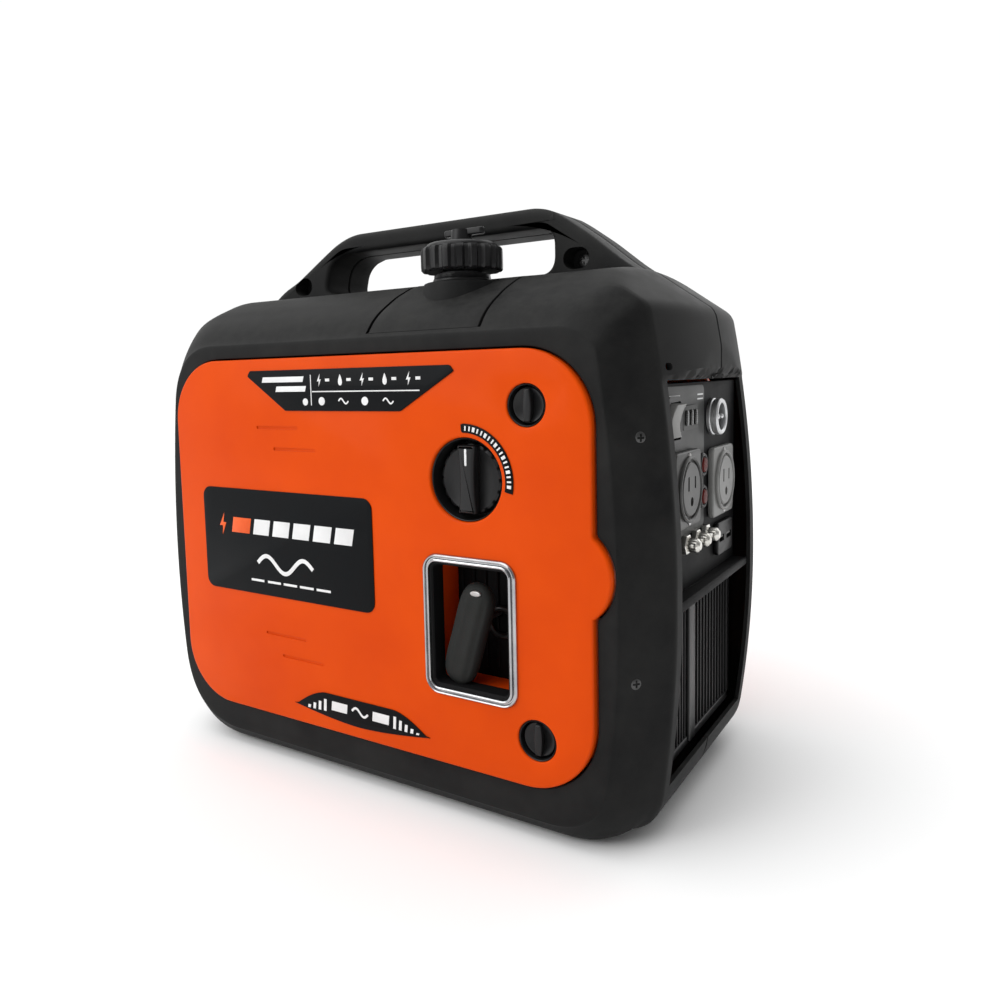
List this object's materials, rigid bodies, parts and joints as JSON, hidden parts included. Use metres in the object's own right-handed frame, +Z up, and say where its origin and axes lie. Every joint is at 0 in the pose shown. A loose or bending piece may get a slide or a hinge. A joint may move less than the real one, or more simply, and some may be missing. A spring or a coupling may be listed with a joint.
{
  "type": "portable generator",
  "caption": "Suitcase inverter generator: black case with carry handle and fuel cap, orange covers, recessed recoil starter and dial, controls and air intake on one end, exhaust on the other.",
  "frame": {"origin": "on the floor under the middle of the machine", "axes": "+X along the long side towards the control end, -Y towards the front cover with the recoil starter, +Z up"},
  "size_m": [0.45, 0.255, 0.4185],
  "materials": {
    "case_black": "fine grain, satin",
    "cover_orange": "satin gloss",
    "dark_plastic": "satin",
    "soft_black": "matt",
    "label_print": "printed film",
    "bezel_chrome": "polished",
    "steel": "brushed",
    "alloy": "machined",
    "cast_alloy": "sand cast",
    "iron": "black paint",
    "copper": "enamelled winding",
    "socket": "satin",
    "brass": "bright",
    "tank": "blow moulded",
    "rope": "braided",
    "lamp": "clear lens",
    "red_plastic": "glossy"
  },
  "bodies": {
    "case": {"front_case": "case_black", "rear_case": "case_black", "filler_collar": "case_black", "rear_cover": "cover_orange", "rope_guide": "dark_plastic", "air_filter_box": "dark_plastic", "air_filter_lid": "dark_plastic", "fan_shroud": "dark_plastic", "filler_neck": "dark_plastic", "control_panel": "dark_plastic", "usb_ports": "dark_plastic", "intake_grille": "dark_plastic", "exhaust_panel": "dark_plastic", "fuel_and_ignition_switch": "dark_plastic", "spark_plug_boot": "soft_black", "foot_front_left": "soft_black", "foot_front_right": "soft_black", "foot_rear_left": "soft_black", "foot_rear_right": "soft_black", "recoil_housing": "iron", "rocker_cover": "iron", "base_tray": "iron", "engine_block": "cast_alloy", "cylinder_head": "cast_alloy", "carburettor": "alloy", "inverter_unit": "alloy", "muffler": "steel", "muffler_shield": "steel", "exhaust_outlet": "steel", "alternator_stator": "copper", "fuel_tank": "tank", "ac_outlet_left": "socket", "ac_outlet_right": "socket", "dc_socket": "socket", "indicator_lamps": "lamp", "parallel_socket_left": "brass", "parallel_socket_right": "brass", "earth_terminal": "brass"},
    "cover": {"front_cover": "cover_orange", "name_badge": "label_print", "top_banner": "label_print", "lower_banner": "label_print", "dial_arc": "label_print", "window_bezel": "bezel_chrome"},
    "upper_screw": {"cover_screw_upper": "dark_plastic"},
    "lower_screw": {"cover_screw_lower": "dark_plastic"},
    "starter": {"starter_grip": "soft_black", "starter_rope": "rope"},
    "reel": {"recoil_reel": "dark_plastic"},
    "crank": {"crankshaft": "steel", "alternator_rotor": "steel", "cooling_fan": "dark_plastic"},
    "dial": {"engine_dial": "dark_plastic"},
    "cap_base": {"cap_plug": "dark_plastic"},
    "cap": {"fuel_cap": "dark_plastic"},
    "vent": {"vent_lever": "dark_plastic"},
    "eco_rocker": {"eco_switch": "red_plastic"},
    "ac_button": {"ac_breaker": "red_plastic"},
    "dc_button": {"dc_breaker": "red_plastic"},
    "oil_filler": {"oil_plug": "soft_black"}
  },
  "joints": [
    {"name": "cover_pull", "type": "slide", "parent": "case", "child": "cover", "axis": [0, -1, 0], "range_m": [0, 0.08]},
    {"name": "upper_screw_turn", "type": "hinge", "parent": "cover", "child": "upper_screw", "pos_m": [0.1425, -0.118, 0.28], "axis": [0, 1, 0], "range_deg": [0, 90]},
    {"name": "lower_screw_turn", "type": "hinge", "parent": "cover", "child": "lower_screw", "pos_m": [0.1465, -0.118, 0.069], "axis": [0, 1, 0], "range_deg": [0, 90]},
    {"name": "starter_pull", "type": "slide", "parent": "case", "child": "starter", "axis": [0, -1, 0], "range_m": [0, 0.1], "stiffness_N_per_m": 60, "springref_m": -0.1},
    {"name": "reel_turn", "type": "hinge", "parent": "case", "child": "reel", "pos_m": [0.098, 0.018, 0.1], "axis": [1, 0, 0], "range_deg": [0, 160]},
    {"name": "crank_turn", "type": "hinge", "parent": "case", "child": "crank", "pos_m": [0, 0.018, 0.1], "axis": [1, 0, 0], "continuous": true},
    {"name": "dial_turn", "type": "hinge", "parent": "case", "child": "dial", "pos_m": [0.097, -0.115, 0.232], "axis": [0, 1, 0], "range_deg": [0, 95]},
    {"name": "cap_lift", "type": "slide", "parent": "case", "child": "cap_base", "axis": [0, 0, 1], "range_m": [0, 0.06]},
    {"name": "cap_turn", "type": "hinge", "parent": "cap_base", "child": "cap", "pos_m": [0.06, -0.0655, 0.3795], "axis": [0, 0, 1], "range_deg": [0, 360]},
    {"name": "vent_turn", "type": "hinge", "parent": "cap", "child": "vent", "pos_m": [0.06, -0.0655, 0.3915], "axis": [0, 0, 1], "range_deg": [-90, 0]},
    {"name": "eco_rock", "type": "hinge", "parent": "case", "child": "eco_rocker", "pos_m": [0.212, -0.06, 0.268], "axis": [0, 1, 0], "range_deg": [-18, 0]},
    {"name": "ac_breaker_press", "type": "slide", "parent": "case", "child": "ac_button", "axis": [-1, 0, 0], "range_m": [0, 0.003], "stiffness_N_per_m": 300, "springref_m": -0.001},
    {"name": "dc_breaker_press", "type": "slide", "parent": "case", "child": "dc_button", "axis": [-1, 0, 0], "range_m": [0, 0.003], "stiffness_N_per_m": 300, "springref_m": -0.001},
    {"name": "oil_filler_turn", "type": "hinge", "parent": "case", "child": "oil_filler", "pos_m": [-0.044, -0.045, 0.072], "axis": [0, 1, 0], "range_deg": [-360, 0]}
  ],
  "couplings": [
    {"joint": "reel_turn", "follows": "starter_pull", "rad_per_m": 27.778}
  ]
}
